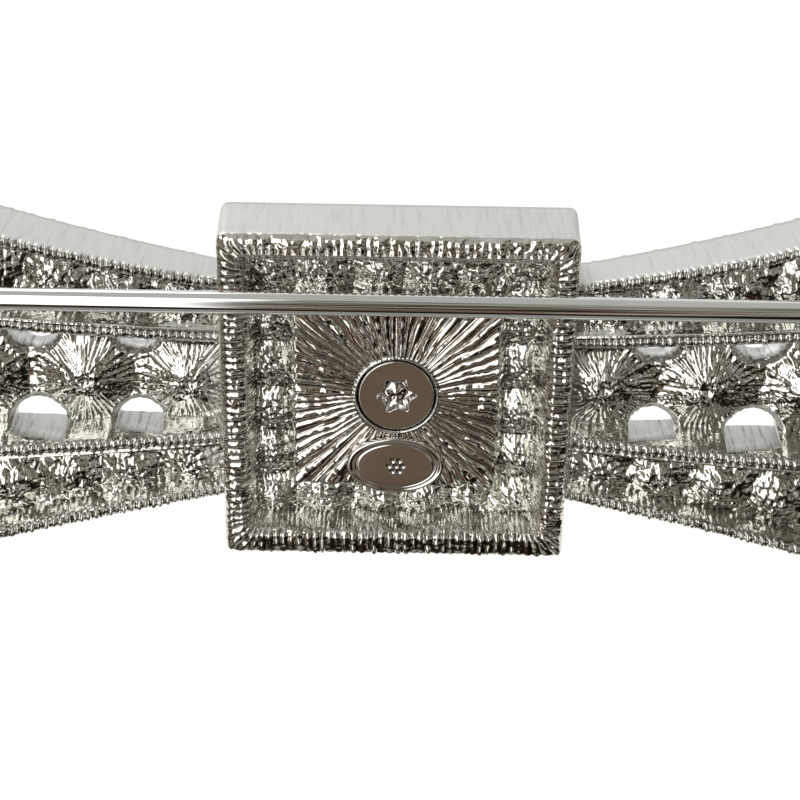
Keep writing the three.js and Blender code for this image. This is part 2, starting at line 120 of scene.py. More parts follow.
def lattice(ix, iz, seed):
    """A fixed random number from 0 to 1 for each whole-number place."""
    n = ix.astype(np.int64) * 374761393 + iz.astype(np.int64) * 668265263 + seed * 974634777
    n = (n ^ (n >> 13)) * 1274126177
    n = n ^ (n >> 16)
    return (n & 0xFFFF) / 65535.0


def chance(cell, seed):
    """A fixed random number from 0 to 1 for each cell of a row."""
    return lattice(cell, np.zeros_like(cell), seed)


def value_noise(x, z, size, seed):
    """Smooth noise from -1 to 1, with lumps of about that size."""
    px, pz = x / size, z / size
    ix, iz = np.floor(px), np.floor(pz)
    fx, fz = px - ix, pz - iz
    fx, fz = fx * fx * (3 - 2 * fx), fz * fz * (3 - 2 * fz)
    low = lattice(ix, iz, seed) * (1 - fx) + lattice(ix + 1, iz, seed) * fx
    high = lattice(ix, iz + 1, seed) * (1 - fx) + lattice(ix + 1, iz + 1, seed) * fx
    return (low * (1 - fz) + high * fz) * 2 - 1


def pebbles(x, z, size, seed):
    """Packed little domes of random heights, from 0 to about 1."""
    px, pz = x / size, z / size
    ix, iz = np.floor(px), np.floor(pz)
    best = np.zeros_like(px)
    for dx in (-1, 0, 1):
        for dz in (-1, 0, 1):
            cx, cz = ix + dx, iz + dz
            ox = cx + 0.15 + 0.7 * lattice(cx, cz, seed)
            oz = cz + 0.15 + 0.7 * lattice(cx, cz, seed + 1)
            tall = 0.35 + 0.65 * lattice(cx, cz, seed + 2)
            far = ((px - ox) ** 2 + (pz - oz) ** 2) / (0.35 + 0.4 * lattice(cx, cz, seed + 3))
            best = np.maximum(best, tall * np.sqrt(np.clip(1 - far, 0, 1)))
    return best


def ridges(along, across, pitch, seed, sway=0.25):
    """Side by side ridges of uneven height, from 0 to 1. Across makes each one sway and fade."""
    swayed = along / pitch + sway * value_noise(along / pitch, across, 1.7, seed)
    cell = np.floor(swayed)
    phase = swayed - cell
    tall = 0.45 + 0.55 * chance(cell, seed + 5)
    fade = 0.72 + 0.28 * value_noise(cell * 3.1, across, 0.32, seed + 9)
    return np.sin(np.pi * phase) ** 0.8 * tall * fade


def ribs(along, across, seed, sway=0.3, thin=0.20):
    """Separate ribs of uneven width on flat ground, one in each unit of along, from 0 to about 1."""
    swayed = along + sway * value_noise(along, across, 1.3, seed)
    cell = np.floor(swayed)
    wide = thin + 0.20 * chance(cell, seed + 1)
    middle = 0.5 + 0.24 * (chance(cell, seed + 2) - 0.5)
    tall = 0.35 + 0.65 * chance(cell, seed + 3)
    broken = 0.85 + 0.35 * value_noise(cell * 3.7, across, 0.35, seed + 4)
    return tall * broken * np.sqrt(np.clip(1 - ((swayed - cell - middle) / wide) ** 2, 0, 1))


def blend(value, low, high):
    """0 below low and 1 above high, smooth between them."""
    t = np.clip((value - low) / (high - low), 0, 1)
    return t * t * (3 - 2 * t)


def hump(value, middle, width):
    """1 at the middle and falling away to 0 on both sides."""
    return np.exp(-((value - middle) / width) ** 2)


def soft_max(a, b, width):
    """The larger of two heights, rounded off where they differ by less than width."""
    share = np.clip(0.5 + 0.5 * (a - b) / width, 0, 1)
    return a * share + b * (1 - share) + width * share * (1 - share)


# -------------------------------- making pieces

def new_object(name, data):
    made = bpy.data.objects.new(name, data)
    bpy.context.collection.objects.link(made)
    return made


def new_body(name, points, faces, materials, face_slots=None, smooth=True):
    """An object made from points in millimetres, with every face turned outward."""
    mesh = bpy.data.meshes.new(name)
    placed = np.asarray(points, dtype=float) * MM + ORIGIN
    mesh.from_pydata(placed.tolist(), [], [list(map(int, face)) for face in faces])
    for material in materials:
        mesh.materials.append(material)
    if face_slots is not None:
        mesh.polygons.foreach_set("material_index", np.asarray(face_slots, dtype=np.int32))
    mesh.polygons.foreach_set("use_smooth", np.full(len(mesh.polygons), smooth))
    mesh.update()
    work = bmesh.new()
    work.from_mesh(mesh)
    bmesh.ops.recalc_face_normals(work, faces=work.faces)
    work.to_mesh(mesh)
    work.free()
    mesh.update()
    return new_object(name, mesh)


def add_piece(name, points, faces, materials, face_slots=None, smooth=True,
              body="brooch", slot="cast_metal", stands_for=()):
    """A visible piece that rides on a CAD body."""
    piece = new_body(name, points, faces, materials, face_slots, smooth)
    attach(piece, body)
    if stands_for:
        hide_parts(*stands_for)
    return piece


def add_finding(name, points, faces, stands_for, smooth=True, body="brooch"):
    """A polished piece that stands for one CAD node."""
    return add_piece(name, points, faces, [POLISHED], smooth=smooth, body=body, slot="polished_metal",
                     stands_for=[stands_for])


def ring_faces(ring_count, around):
    """Quads that join rings of points, each ring closed on itself."""
    rows = np.arange(ring_count - 1)[:, None] * around
    here = np.arange(around)[None, :]
    after = (here + 1) % around
    quads = np.stack([rows + here, rows + after, rows + around + after, rows + around + here], axis=-1)
    return quads.reshape(-1, 4)


def lofted(rings):
    """Points and faces of a closed body from rings of points, with a fan of triangles at each end."""
    rings = np.asarray(rings, dtype=float)
    count, around, _ = rings.shape
    points = np.concatenate([rings.reshape(-1, 3), rings[:1].mean(axis=1), rings[-1:].mean(axis=1)])
    quads = ring_faces(count, around)
    here = np.arange(around)
    after = (here + 1) % around
    first, last = count * around, count * around + 1
    start = np.stack([after, here, np.full(around, first)], axis=-1)
    base = (count - 1) * around
    end = np.stack([base + here, base + after, np.full(around, last)], axis=-1)
    return points, [*quads.tolist(), *start.tolist(), *end.tolist()]


def gathered(bodies):
    """One list of points and one of faces from several bodies."""
    points, faces = [], []
    for body_points, body_faces in bodies:
        start = len(points)
        points.extend(np.asarray(body_points, dtype=float).tolist())
        faces.extend([[start + i for i in face] for face in body_faces])
    return points, faces


def apply_modifiers(piece):
    graph = bpy.context.evaluated_depsgraph_get()
    done = bpy.data.meshes.new_from_object(piece.evaluated_get(graph))
    piece.modifiers.clear()
    piece.data = done


def cut(piece, points, faces, operation="DIFFERENCE", face_slots=None, smooth=True):
    """Cuts a piece with a body that has the piece's materials, or does another operation with it."""
    tool = new_body("tool", points, faces, piece.data.materials, face_slots, smooth)
    modifier = piece.modifiers.new("cut", "BOOLEAN")
    modifier.operation = operation
    modifier.solver = "MANIFOLD"
    modifier.object = tool
    apply_modifiers(piece)
    bpy.data.objects.remove(tool)


def join(piece, points, faces, smooth=True):
    """Joins a body to a piece."""
    cut(piece, points, faces, "UNION", smooth=smooth)


# -------------------------------- materials

def new_material(name):
    material = bpy.data.materials.new(name)
    material.use_nodes = True
    tree = material.node_tree
    return material, tree, tree.nodes["Principled BSDF"]


def feed(tree, socket, value):
    """Links an output to a socket, or sets a plain value on it."""
    if isinstance(value, bpy.types.NodeSocket):
        tree.links.new(value, socket)
    elif socket.type == "RGBA":
        socket.default_value = (*value, 1)
    else:
        socket.default_value = value


def add_node(tree, kind, inputs=None, **settings):
    """A node with its settings, and with its inputs set or linked."""
    node = tree.nodes.new(kind)
    for name, value in settings.items():
        setattr(node, name, value)
    for name, value in (inputs or {}).items():
        feed(tree, node.inputs[name], value)
    return node


def object_noise(tree, scale, detail=3.0, stretch=(1, 1, 1), roughness=0.55):
    place = add_node(tree, "ShaderNodeTexCoord").outputs["Object"]
    mapping = add_node(tree, "ShaderNodeMapping", {"Vector": place, "Scale": stretch})
    noise = {"Vector": mapping.outputs["Vector"], "Scale": scale, "Detail": detail, "Roughness": roughness}
    return add_node(tree, "ShaderNodeTexNoise", noise).outputs["Fac"]


def ramp(tree, source, stops):
    """Colours from a source, given as (position, colour) stops from low to high."""
    node = add_node(tree, "ShaderNodeValToRGB", {"Fac": source})
    elements = node.color_ramp.elements
    elements[0].position, elements[0].color = stops[0][0], (*stops[0][1], 1)
    elements[1].position, elements[1].color = stops[-1][0], (*stops[-1][1], 1)
    for position, colour in stops[1:-1]:
        elements.new(position).color = (*colour, 1)
    return node.outputs["Color"]


def textured(name, kind, noise, stops, rough):
    """A material whose colour and roughness follow one noise. Kind is the shader weight that is 1."""
    material, tree, shader = new_material(name)
    pattern = object_noise(tree, *noise)
    colours = ramp(tree, pattern, stops)
    spread = {"Value": pattern, "To Min": rough[0], "To Max": rough[1]}
    roughness = add_node(tree, "ShaderNodeMapRange", spread).outputs["Result"]
    for socket, value in ((kind, 1), ("Base Color", colours), ("Roughness", roughness)):
        feed(tree, shader.inputs[socket], value)
    return material, tree, shader, pattern, colours


def add_bump(tree, shader, source, distance, strength):
    bump = add_node(tree, "ShaderNodeBump", {"Height": source, "Distance": distance, "Strength": strength})
    feed(tree, shader.inputs["Normal"], bump.outputs["Normal"])


def cast_metal(name="cast_bright", colour=(0.90, 0.90, 0.87), low=0.05, high=0.15, bite=0.00003,
               pit=0.42, level=0.48):
    """Bright plate over a lumpy casting: darker in random patches, with painted shade down in the pits and a
    painted highlight on the crests.
    """
    dull = tuple(c * f for c, f in zip(colour, (0.73, 0.72, 0.69)))
    stops = [(0.3, dull), (0.65, colour)]
    material, tree, shader, _, colours = textured(name, "Metallic", (900, 4), stops, (high, low))
    shape = add_node(tree, "ShaderNodeNewGeometry")
    # Painted shade and highlight: pointiness turns the hollows nearly black and leaves the crests lighter
    # than flat ground.
    pit_shade = ramp(tree, shape.outputs["Pointiness"],
                [(pit, (0.06, 0.05, 0.04)), (level, (0.80, 0.79, 0.76)), (0.51, (1.0, 1.0, 1.0))])
    pit_shaded = add_node(tree, "ShaderNodeMix", {"Factor": 1, "A": colours, "B": pit_shade},
                        data_type="RGBA", blend_type="MULTIPLY")
    feed(tree, shader.inputs["Base Color"], pit_shaded.outputs["Result"])
    add_bump(tree, shader, object_noise(tree, 3200, 2), bite, 0.9)
    return material


def satin_metal(name="satin_walls", dark=0.66, bright=0.79, bite=0.00003):
    """Scratch-brushed plate. The scratches run from front to back."""
    stops = [(0.34, (dark, dark, dark * 0.98)), (0.45, (0.75, 0.75, 0.735)),
             (0.68, (bright, bright, bright * 0.98))]
    scratches = (4200, 4, (1, 0.06, 1), 0.75)
    material, tree, shader, lines, _ = textured(name, "Metallic", scratches, stops, (0.5, 0.34))
    add_bump(tree, shader, lines, bite, 0.6)
    return material


def polished_metal(name="polished", colour=(0.84, 0.84, 0.83), low=0.04, high=0.12):
    """Polished plate with faint wiping marks."""
    stops = [(0.35, tuple(c * 0.9 for c in colour)), (0.6, colour)]
    marks = (600, 5, (0.25, 1, 1))
    material, tree, shader, _, _ = textured(name, "Metallic", marks, stops, (low, high))
    add_bump(tree, shader, object_noise(tree, 2500, 2, (0.2, 1, 1)), 0.000002, 0.3)
    return material


def crystal_glass():
    """Clear lead-type crystal with the faintest cloud in it."""
    stops = [(0.3, (0.94, 0.965, 0.99)), (0.7, (1.0, 1.0, 1.0))]
    material, _, shader, _, _ = textured("crystal_clear", "Transmission Weight", (700, 2), stops, (0, 0.015))
    shader.inputs["IOR"].default_value = 1.56
    return material


def crystal_foil():
    """The silvered back of a crystal."""
    stops = [(0.3, (0.86, 0.88, 0.90)), (0.7, (0.95, 0.96, 0.97))]
    return textured("crystal_foil", "Metallic", (1500, 3), stops, (0.02, 0.08))[0]


# Both cast metals carry painted shade in their pits and a painted highlight on their crests.
CAST = cast_metal()
CAST_FLAT = cast_metal("cast_flat", (0.85, 0.82, 0.785), 0.03, 0.08, 0.000006, 0.45, 0.493)
SATIN = satin_metal()
PIERCED = satin_metal("pierced_walls", 0.34, 0.90, 0.00006)
POLISHED = polished_metal()
SCREW_METAL = polished_metal("screw_steel", (0.76, 0.73, 0.72), 0.04, 0.09)
PLATE_METAL = polished_metal("plate_steel", (0.78, 0.75, 0.73), 0.05, 0.12)
GLASS = crystal_glass()
FOIL = crystal_foil()


# -------------------------------- knot

AROUND = 880


def square_rays(count):
    """Points spaced evenly round a square of half-width 1."""
    s = (np.arange(count) + 0.5) / count * 4
    side = np.floor(s).astype(int)
    t = (s - side) * 2 - 1
    x = np.choose(side, [np.ones_like(t), -t, -np.ones_like(t), t])
    z = np.choose(side, [t, np.ones_like(t), -t, -np.ones_like(t)])
    return x, z


RAY_X, RAY_Z = square_rays(AROUND)
RAY_LENGTH = np.hypot(RAY_X, RAY_Z)


def square_ring(half, corner=0.0, tall=None):
    """A square ring of points with rounded corners."""
    half_z = tall or half
    x, z = RAY_X * half, RAY_Z * half_z
    if corner > 0:
        past_x, past_z = np.abs(x) - (half - corner), np.abs(z) - (half_z - corner)
        in_corner = (past_x > 0) & (past_z > 0)
        far = np.hypot(past_x, past_z)
        reach = np.where(in_corner, np.maximum(past_x, past_z) / np.where(far > 0, far, 1), 1)
        x = np.where(in_corner, np.sign(x) * (half - corner + past_x * reach), x)
        z = np.where(in_corner, np.sign(z) * (half_z - corner + past_z * reach), z)
    return x, z


def along_rim(x, z):
    """How far along its side of the square a point is, fanned out round the corners."""
    fan_start, fan_radius = 7.3, 2.0
    ax, az = np.abs(x), np.abs(z)
    turn = np.arctan2(np.maximum(az - fan_start, 0), np.maximum(ax - fan_start, 1e-9))
    in_corner = (ax > fan_start) & (az > fan_start)
    level = az >= ax
    fanned = fan_start + fan_radius * np.where(level, np.pi / 2 - turn, turn)
    straight = np.where(level, ax, az)
    sign = np.where(level, np.sign(x), np.sign(z))
    side = np.where(level, np.where(z > 0, 0, 2), np.where(x > 0, 1, 3))
    return np.where(in_corner, fanned, straight) * sign + side * 40.0


def ring_seats():
    """Where the border's stones push out the back, as (x, z, reach). The lumps are uneven."""
    seats = []
    uneven = [(0.0, 0.0, 1.05), (0.05, 0.05, 1.2), (0.55, 0.0, 1.0), (0.35, -0.05, 1.2), (0.1, 0.0, 0.75)]
    for i, (along, out, reach) in enumerate(uneven):
        place = -RING_HALF + i * RING_PITCH
        seats += [(-place - along, RING_HALF + out, reach), (RING_HALF, -place, 1.1),
                  (-place - along, -RING_HALF, reach), (-RING_HALF, place, 1.1)]
    return seats


def seat_mounds(x, z, seats):
    """How much a point belongs to the back of a stone's seat, from 0 to 1."""
    mound = np.zeros_like(x)
    for sx, sz, reach in seats:
        far = np.hypot(x - sx, z - sz) / reach
        mound = np.maximum(mound, np.exp(-(far ** 3)))
    return mound


def rough_floor(x, z, mound, seed):
    """The lumpy floor behind a row of stones: grainy over each seat and smooth between them."""
    grain = pebbles(x, z, 0.40, seed) * 0.24 + pebbles(x, z, 0.23, seed + 11) * 0.12
    waves = 0.14 * value_noise(x, z, 0.8, seed + 21) + 0.07 * value_noise(x, z, 0.36, seed + 22)
    return mound * (0.50 + grain) + (1 - mound) * (waves + 0.5 * grain)


def knot_back_y(x, z, q):
    """Height of the knot's back. Q is the half-width of the square that the point is on."""
    s = along_rim(x, z)
    rib = ridges(s, q, 0.43, 3, 0.22)
    crown = (q - (RIM_INNER + KNOT_HALF) / 2) / ((KNOT_HALF - RIM_INNER) / 2)
    on_top = blend(z - np.abs(x), -0.3, 0.3)
    on_bottom = blend(-z - np.abs(x), -0.3, 0.3)
    outer_part = blend(crown, -0.15, 0.35)
    rim = (0.22 * on_bottom - 0.34) * np.clip((crown - 0.28) / 0.72, 0, 1.2) ** 2
    rim -= 0.42 * np.clip((-0.45 - crown) / 0.55, 0, 1.2) ** 2
    dots = 0.13 * on_top * outer_part * (pebbles(x, z, 0.42, 8) - 0.5)
    rim += (0.22 + 0.10 * on_bottom - on_top * (0.12 + 0.04 * outer_part)) * (rib - 0.75) + dots
    rim += 0.03 * value_noise(x, z, 0.28, 5) + 0.02 * (pebbles(x, z, 0.3, 6) - 0.5)
    groove = ridges(s, q, 0.27, 9, 0.3)
    lip = RIM_INNER - 0.02 + 0.10 * value_noise(s, q * 0, 0.9, 7) + 0.20 * (groove - 0.5)
    rim += 0.14 * hump(q - lip, 0.06, 0.08)
    inside = 1 - blend(q, lip - 0.42, lip)
    mound = seat_mounds(x, z, ring_seats())
    floor = MOAT_Y + 0.05 + rough_floor(x, z, mound, 31)
    y = rim * (1 - inside) + floor * inside
    angle, radius = np.arctan2(z, x), np.hypot(x, z)
    spoke = ribs(angle / (2 * np.pi) * 60, radius, 41, 0.3, 0.24)
    fine = ribs(angle / (2 * np.pi) * 118, radius, 47)
    faded = blend(radius, SCREW_RADIUS + 0.1, SCREW_RADIUS + 0.3)
    widening = 0.5 + 0.5 * blend(radius, 2.5, 5.5)
    top = PLATEAU_Y - 0.06 + faded * (0.20 * spoke * widening + 0.015 * fine)
    top += 0.006 * value_noise(x, z, 0.9, 53)
    edge = PLATEAU_HALF + 0.06 + 0.14 * (spoke - 0.4)
    on_plateau = 1 - blend(q, edge - 0.10, edge + 0.34)
    return y * (1 - on_plateau) + top * on_plateau


def knot_rings():
    """Rings from the hidden middle of the back, out over the rim, down the wall and in across the front."""
    rings, slots = [], []

    def add(x, y, z, slot):
        rings.append(np.stack([x, np.broadcast_to(y, x.shape), z], axis=-1))
        slots.append(slot)

    unit_x, unit_z = RAY_X / RAY_LENGTH, RAY_Z / RAY_LENGTH
    well_y = PLATEAU_Y - WELL_DEPTH
    lip_radius = SCREW_RADIUS + 0.09
    for radius, y in [(0.4, well_y), (lip_radius, well_y), (lip_radius, PLATEAU_Y - 0.12),
                      (lip_radius + 0.03, PLATEAU_Y), (lip_radius + 0.09, PLATEAU_Y + 0.03),
                      (lip_radius + 0.15, PLATEAU_Y)]:
        add(unit_x * radius, y, unit_z * radius, 0)
    for f in np.linspace(1, 0, 46)[1:]:
        radius = f * (lip_radius + 0.15) + (1 - f) * RAY_LENGTH * (PLATEAU_HALF - 0.4)
        x, z = unit_x * radius, unit_z * radius
        q = np.maximum(np.abs(x), np.abs(z))
        add(x, knot_back_y(x, z, q), z, 2)
    steps = np.concatenate([np.linspace(PLATEAU_HALF - 0.4, RIM_INNER - 0.5, 36)[1:],
                            np.linspace(RIM_INNER - 0.5, KNOT_HALF, 30)[1:]])
    for q in steps:
        outward = blend(np.array(q), PLATEAU_HALF, KNOT_HALF)
        x, z = square_ring(q, KNOT_CORNER * outward, q + (KNOT_HALF_TALL - KNOT_HALF) * outward)
        smooth_cast = q < PLATEAU_HALF or q > RIM_INNER - 0.1
        add(x, knot_back_y(x, z, np.full_like(x, q)), z, 2 if smooth_cast else 0)
    edge_y = rings[-1][:, 1]
    for down in np.linspace(0, 1, 12)[1:]:
        grow = KNOT_FLARE * blend(np.array(down), 0, 1)
        x, z = square_ring(KNOT_HALF + grow, KNOT_CORNER, KNOT_HALF_TALL + grow)
        add(x, edge_y * (1 - down) - (KNOT_DEPTH - 0.08) * down, z, 1)
    front = [(KNOT_HALF + 0.06, -KNOT_DEPTH), (9.3, -KNOT_DEPTH), (8.9, -KNOT_DEPTH + 0.02),
             (8.5, -KNOT_DEPTH), (8.36, -KNOT_DEPTH + 0.1), (8.3, -3.2), (6.9, -3.15), (5.6, -3.2),
             (5.52, -KNOT_DEPTH + 0.1), (5.42, -KNOT_DEPTH), (5.3, -KNOT_DEPTH), (5.22, -KNOT_DEPTH + 0.1),
             (5.2, -3.05), (3.0, -3.05), (0.5, -3.05)]
    for half, y in front:
        corner = KNOT_CORNER * max(0.0, (half - 5.0) / (KNOT_HALF - 5.0))
        x, z = square_ring(half, corner)
        add(x, y, z, 0)
    return rings, slots


def make_knot():
    rings, slots = knot_rings()
    points, faces = lofted(rings)
    per_face = np.zeros(len(faces), dtype=np.int32)
    per_face[:len(slots[1:]) * AROUND] = np.repeat(slots[1:], AROUND)
    add_piece("knot_casting", points, faces, [CAST, SATIN, CAST_FLAT], per_face, stands_for=["knot_box"])


# -------------------------------- wings

def wing_half_height(u):
    t = u - 10
    ease = np.maximum(0, t - 14)
    return WING_START_HALF + 0.168 * t + 0.0045 * t * t - 0.0006 * ease ** 3


def middle_half_height(u):
    return 2.81 + 0.07 * (u - 10)


def wing_back_y(u):
    t = u - 10
    return -1.1 + 0.68 * (1 - np.exp(-t / 6)) - 0.0012 * np.maximum(0, t - 12) ** 2


def wing_front_y(u):
    return -4.05 - 1.1 * (1 - np.exp(-(u - 10) / 13))


def wing_end(z):
    across = z / wing_half_height(WING_CORNER)
    return WING_CORNER + WING_END_BULGE * (1 - across * across)


def wing_stones():
    """Name, place along the wing, height, radius and pavilion depth of each stone of one wing."""
    stones = []
    for i in range(DOME_COUNT):
        radius = 1.9 if i == 0 else 2.5
        stones.append((f"large_crystal_{i + 1}", DOME_FIRST + i * DOME_PITCH, 0.0, radius, 0.66 * radius))
    u = DOME_FIRST
    for i in range(6):
        t = u - 10
        pitch = 3.3 + 0.04 * t + 0.0009 * t * t
        height = wing_half_height(u)
        middle = middle_half_height(u)
        z = (middle + INNER_RAIL + height - OUTER_RAIL) / 2
        radius = min(0.38 * (height - middle), 0.46 * pitch)
        for band, band_z in (("upper", z), ("lower", -z)):
            stones.append((f"{band}_band_crystal_{i + 1}", u, band_z, radius, 0.8 * radius))
        u += pitch
    for i, (u, z) in enumerate([(35.2, 9.0), (36.3, 4.55), (36.6, 0.0), (36.3, -4.55), (35.2, -9.0)]):
        stones.append((f"end_crystal_{i + 1}", u, z, 2.0, 1.6))
    return stones


STONES = wing_stones()
DOMES = [DOME_FIRST + i * DOME_PITCH for i in range(DOME_COUNT)]
ARCHES = [DOME_FIRST + (i + 0.5) * DOME_PITCH for i in range(DOME_COUNT)]


def across_stations(u):
    """Heights of the points across the wing at U, from its top edge to its bottom edge."""
    height, middle = wing_half_height(u), middle_half_height(u)
    levels = [height, height - OUTER_RAIL, middle + INNER_RAIL, middle, 0.0]
    bands = zip(levels, levels[1:], (9, 36, 11, 34))
    parts = [np.linspace(top, bottom, count + 1)[:-1] for top, bottom, count in bands]
    upper = np.concatenate([*parts, [0.0]])
    return np.concatenate([upper, -upper[-2::-1]])


def wing_grid():
    """U and Z of the wing's points: one row across the wing at each station along it."""
    fine_end = 22.0
    near, far = np.linspace(WING_START, fine_end, 178), np.linspace(fine_end, WING_CORNER, 118)[1:]
    rows = []
    for station in (*near, *far):
        z = across_stations(station)
        pull = blend(np.array(station), 30.0, WING_CORNER) * (wing_end(z) - WING_CORNER)
        rows.append((station + pull, z))
    return np.array(rows).transpose(1, 0, 2)


def edge_distances(u, z):
    """Distance in from the wing's outline, and out from its middle band."""
    height = wing_half_height(np.minimum(u, WING_CORNER))
    from_side = height - np.abs(z)
    from_end = wing_end(z) - u
    inward = np.minimum(from_side, from_end)
    from_middle = np.maximum(np.abs(z) - middle_half_height(u), u - MIDDLE_END)
    return inward, from_middle, from_end < from_side


def arch_distance(u, z):
    """Rough distance outward from the nearest arched opening."""
    best = np.full_like(u, 9.0)
    for middle_u, half_width in zip(ARCHES, ARCH_HALF_WIDTHS):
        foot = middle_half_height(middle_u) - ARCH_MARGIN
        tall = foot - np.where(z > 0, *ARCH_TOPS)
        near = np.hypot((u - middle_u) / half_width, (foot - np.abs(z)) / tall)
        best = np.minimum(best, (near - 1) * half_width)
    return best


def bead_row(s, across, pitch, seed):
    """A row of round beads: up to 1 on top of a bead and low between two."""
    cell = np.floor(s / pitch)
    phase = s / pitch - cell - 0.5 - 0.22 * (chance(cell, seed + 1) - 0.5)
    lean = across - 0.5 * (chance(cell, seed + 2) - 0.5)
    tall = 0.62 + 0.38 * chance(cell, seed)
    merged = 0.22 + 0.22 * value_noise(s, s * 0, 2.6, seed + 3)
    bead = np.sqrt(np.clip(1 - (phase * 2.2) ** 2 - lean ** 2 * 0.8, 0, 1))
    return np.maximum(tall * bead, merged * np.sqrt(np.clip(1 - across ** 2, 0, 1)))


def wing_back_depth(u, z, seed):
    """Height of the wing's back over its own back plane: 0 on the rails and less in the channels."""
    inward, from_middle, at_end = edge_distances(u, z)
    s = np.where(at_end, z, u)
    back_y = wing_back_y(u)
    deep = -FLOOR_DEPTH * ((back_y - wing_front_y(u)) / WING_THICKNESS)

    crown = np.clip((inward - OUTER_RAIL / 2) / (OUTER_RAIL / 2), -1.2, 1.2)
    outer = -0.42 + 0.42 * bead_row(s, crown, 0.41, seed + 1) + 0.03 * value_noise(u, z, 0.3, seed)
    outer += 0.10 * hump(inward, OUTER_RAIL - 0.03, 0.05)

    place = np.clip(from_middle / INNER_RAIL, -0.2, 1.2)
    bead_across = np.clip((place - 0.36) / 0.36, -1.2, 1.2)
    inner = -0.34 + 0.34 * bead_row(s, bead_across, 0.42, seed + 3)
    inner = np.maximum(inner, -0.28 + 0.20 * hump(place, 0.88, 0.09)) - INNER_RAIL_DROP

    seats = [(su, sz, 0.36 * radius + 0.8) for name, su, sz, radius, _ in STONES if "large" not in name]
    mound = seat_mounds(u, z, seats)
    floor = deep * 0.98 + rough_floor(u, z, mound, seed + 40) * 0.95
    side_ribs = ridges(s, inward, 0.4, seed + 60)
    from_outer, from_inner = inward - OUTER_RAIL, from_middle - INNER_RAIL
    bank = np.minimum(from_outer, from_inner)
    bank_top = np.where(from_outer < from_inner, -0.34, -0.34 - INNER_RAIL_DROP)
    climb = 1 - blend(bank, -0.02, 0.36 + 0.14 * side_ribs)
    channel = floor * (1 - climb) + bank_top * climb

    cone = np.full_like(u, -9.0)
    for k, dome_u in enumerate(DOMES):
        du = u - dome_u
        far = np.hypot(du, z)
        angle = np.arctan2(z, du)
        rays = ribs(angle / (2 * np.pi) * (42 + 4 * k), far, seed + 80 + 7 * k, 0.5)
        fine = ribs(angle / (2 * np.pi) * 83, far * 1.3, seed + 83 + 7 * k, 0.5)
        burst = (0.13 * rays + 0.07 * fine) * blend(far, 0.05, 0.5)
        tip = DOME_TIP_Y - 0.40 * (np.sqrt(far ** 2 + 0.16) - 0.4) - 0.22 * hump(far, 0, 0.3)
        cone = soft_max(cone, tip + burst, 0.6)
    cone += 0.05 * value_noise(u, z, 0.35, seed + 75)
    middle = cone - back_y
    side = (1 - blend(-from_middle, -0.05, 1.0)) ** 1.7
    middle = middle * (1 - side) + (-0.36 - INNER_RAIL_DROP) * side
    from_arch = arch_distance(u, z)
    middle += 0.08 * hump(from_arch, 0.3, 0.18) - 0.20 * hump(np.maximum(from_arch, 0), 0, 0.2)

    y = np.where(from_middle < 0, middle, np.where(from_middle < INNER_RAIL, inner, channel))
    pad_middle, pad_half = (PAD_LOW + PAD_HIGH) / 2, (PAD_HIGH - PAD_LOW) / 2
    on_pad = (np.abs(u - FINDING_X) < 2.75) & (np.abs(z - pad_middle) < pad_half + 0.05)
    y = np.where(on_pad, PAD_Y - back_y + 0.01 * value_noise(u, z, 0.4, seed + 90), y)
    return np.where(inward < OUTER_RAIL, outer, y)


def wing_front_rise(u, z, seed):
    """How far the wing's front stands out of its own front plane."""
    inward, from_middle, at_end = edge_distances(u, z)
    s = np.where(at_end, z, u)
    rise = 0.03 * value_noise(u, z, 0.8, seed) + 0.10 * pebbles(u, z, 0.5, seed + 2)
    edge = np.clip((inward - 0.3) / 0.3, -1, 1)
    rise = np.where(inward < 0.6, 0.12 + 0.2 * bead_row(s, edge, 0.55, seed + 4), rise)
    row = 0.25
    across = np.clip((np.abs(from_middle) - row) / row, -1, 1)
    rise = np.where(np.abs(from_middle - row) < row, 0.05 + 0.2 * bead_row(s, across, 0.5, seed + 6), rise)
    for _, su, sz, radius, _ in STONES:
        far = np.hypot(u - su, z - sz)
        collar = (GIRDLE_RISE * radius + 0.02) * np.exp(-((far - radius - 0.15) / 0.15) ** 4)
        rise = np.maximum(rise, collar)
    for _, su, sz, radius, pavilion in STONES:
        far = np.hypot(u - su, z - sz)
        cup = -(pavilion - GIRDLE_RISE * radius) * (1 - far / radius) - 0.12
        rise = np.where(far < radius - 0.05, np.minimum(rise, cup), rise)
    return rise


def wing_cap(row_start, across, wall_steps):
    """The faces that close one end of a wing, from its back edge to its front edge."""
    ring = list(range(row_start, row_start + 2 * (across + wall_steps)))
    back, down = ring[:across], ring[across:across + wall_steps]
    front, up = ring[across + wall_steps:-wall_steps][::-1], ring[-wall_steps:]
    faces = [[back[0], back[1], front[1], front[0], *up]]
    for j in range(1, across - 2):
        faces.append([back[j], back[j + 1], front[j + 1], front[j]])
    faces.append([back[-2], back[-1], *down, front[-1], front[-2]])
    return faces


def arch_bodies(sign):
    """Points and faces of the bodies that pierce a wing's middle band."""
    turns = np.linspace(0, np.pi, 33)
    bodies = []
    for middle_u, half_width in zip(ARCHES, ARCH_HALF_WIDTHS):
        foot = middle_half_height(middle_u) - ARCH_MARGIN
        for up, top in zip((1, -1), ARCH_TOPS):
            u = middle_u + half_width * np.cos(turns)
            z = up * (foot - (foot - top) * np.sin(turns) ** 0.9)
            bodies.append(lofted([np.stack([sign * u, np.full_like(u, y), z], axis=-1) for y in (-7.0, 1.5)]))
    return gathered(bodies)


